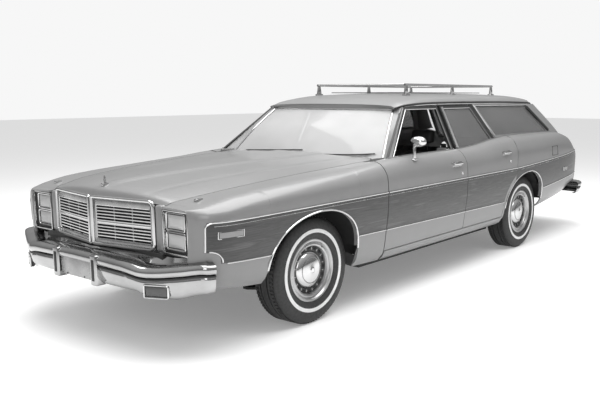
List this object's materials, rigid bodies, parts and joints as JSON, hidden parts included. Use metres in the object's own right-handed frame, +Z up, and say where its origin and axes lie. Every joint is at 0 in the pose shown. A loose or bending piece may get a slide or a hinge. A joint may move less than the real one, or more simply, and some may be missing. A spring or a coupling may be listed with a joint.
{
  "type": "station wagon",
  "caption": "Long station wagon with wood-look flanks, a slanted tail, a roof rack, opening hood, doors and side-hung tailgate, and steered road wheels.",
  "frame": {"origin": "on the ground, under the middle of the car's bounding box", "axes": "+Z up, -Y towards the nose, +X towards the car's left (driver's) side"},
  "size_m": [2.04, 5.73, 1.56],
  "materials": {
    "body_paint": "satin",
    "grille_chrome": "polished",
    "bumper_chrome": "polished",
    "trim_chrome": "polished",
    "lamp_glass": "clear",
    "signal_lens": "gloss",
    "tail_lens": "gloss",
    "clear_glass": "clear",
    "interior_plastic": "matte",
    "seat_vinyl": "matte",
    "underbody": "matte",
    "chassis_black": "satin",
    "engine_iron": "matte",
    "exhaust_steel": "matte",
    "tyre": "matte",
    "wheel_steel": "gloss"
  },
  "bodies": {
    "body": {"floor_pan": "underbody", "front_fender_left": "body_paint", "front_fender_right": "body_paint", "cowl_panel": "body_paint", "front_panel": "body_paint", "grille": "grille_chrome", "headlamps": "lamp_glass", "signal_lamps": "signal_lens", "front_bumper": "bumper_chrome", "quarter_panel_left": "body_paint", "quarter_panel_right": "body_paint", "roof_panel": "body_paint", "window_pillars": "body_paint", "windshield": "clear_glass", "quarter_glass": "clear_glass", "rear_bumper": "bumper_chrome", "tail_lamps": "tail_lens", "roof_rack": "trim_chrome", "dashboard": "interior_plastic", "front_seat": "seat_vinyl", "rear_seat": "seat_vinyl", "chassis_frame": "chassis_black", "engine_block": "engine_iron", "exhaust_pipe": "exhaust_steel", "fuel_tank": "exhaust_steel", "rear_axle": "chassis_black"},
    "hood": {"hood": "body_paint"},
    "front_door_left": {"front_door_left": "body_paint", "side_mirror": "trim_chrome"},
    "front_door_right": {"front_door_right": "body_paint", "front_door_glass_right": "clear_glass"},
    "rear_door_left": {"rear_door_left": "body_paint", "rear_door_glass_left": "clear_glass"},
    "rear_door_right": {"rear_door_right": "body_paint", "rear_door_glass_right": "clear_glass"},
    "tailgate": {"tailgate": "body_paint", "tailgate_glass": "clear_glass"},
    "knuckle_left": {"knuckle_left": "chassis_black"},
    "knuckle_right": {"knuckle_right": "chassis_black"},
    "wheel_front_left": {"tyre_front_left": "tyre", "wheel_front_left": "wheel_steel"},
    "wheel_front_right": {"tyre_front_right": "tyre", "wheel_front_right": "wheel_steel"},
    "wheel_rear_left": {"tyre_rear_left": "tyre", "wheel_rear_left": "wheel_steel"},
    "wheel_rear_right": {"tyre_rear_right": "tyre", "wheel_rear_right": "wheel_steel"},
    "steering_wheel": {"steering_wheel": "interior_plastic"}
  },
  "joints": [
    {"name": "hood_hinge", "type": "hinge", "parent": "body", "child": "hood", "pos_m": [0, -0.93, 1.019], "axis": [-1, 0, 0], "range_deg": [0, 55]},
    {"name": "front_door_left_hinge", "type": "hinge", "parent": "body", "child": "front_door_left", "pos_m": [1.002, -1.082, 0.7], "axis": [0, 0, -1], "range_deg": [0, 65]},
    {"name": "front_door_right_hinge", "type": "hinge", "parent": "body", "child": "front_door_right", "pos_m": [-1.002, -1.082, 0.7], "axis": [0, 0, 1], "range_deg": [0, 65]},
    {"name": "rear_door_left_hinge", "type": "hinge", "parent": "body", "child": "rear_door_left", "pos_m": [1.002, 0.023, 0.7], "axis": [0, 0, -1], "range_deg": [0, 65]},
    {"name": "rear_door_right_hinge", "type": "hinge", "parent": "body", "child": "rear_door_right", "pos_m": [-1.002, 0.023, 0.7], "axis": [0, 0, 1], "range_deg": [0, 65]},
    {"name": "tailgate_hinge", "type": "hinge", "parent": "body", "child": "tailgate", "pos_m": [0.781, 2.652, 0.7], "axis": [0, 0, -1], "range_deg": [0, 85]},
    {"name": "steer_left", "type": "hinge", "parent": "body", "child": "knuckle_left", "pos_m": [0.71, -1.755, 0.35], "axis": [0, 0, 1], "range_deg": [-30, 30]},
    {"name": "steer_right", "type": "hinge", "parent": "body", "child": "knuckle_right", "pos_m": [-0.71, -1.755, 0.35], "axis": [0, 0, 1], "range_deg": [-30, 30]},
    {"name": "steering_wheel_turn", "type": "hinge", "parent": "body", "child": "steering_wheel", "pos_m": [0.37, -0.49, 0.925], "axis": [0, 0.8829, 0.4695], "range_deg": [-600, 600]},
    {"name": "wheel_front_left_spin", "type": "hinge", "parent": "knuckle_left", "child": "wheel_front_left", "pos_m": [0.786, -1.755, 0.35], "axis": [1, 0, 0], "continuous": true},
    {"name": "wheel_front_right_spin", "type": "hinge", "parent": "knuckle_right", "child": "wheel_front_right", "pos_m": [-0.786, -1.755, 0.35], "axis": [1, 0, 0], "continuous": true},
    {"name": "wheel_rear_left_spin", "type": "hinge", "parent": "body", "child": "wheel_rear_left", "pos_m": [0.805, 1.227, 0.35], "axis": [1, 0, 0], "continuous": true},
    {"name": "wheel_rear_right_spin", "type": "hinge", "parent": "body", "child": "wheel_rear_right", "pos_m": [-0.805, 1.227, 0.35], "axis": [1, 0, 0], "continuous": true}
  ],
  "couplings": [
    {"joint": "steer_right", "follows": "steer_left", "ratio": 1},
    {"joint": "steering_wheel_turn", "follows": "steer_left", "ratio": 20}
  ]
}
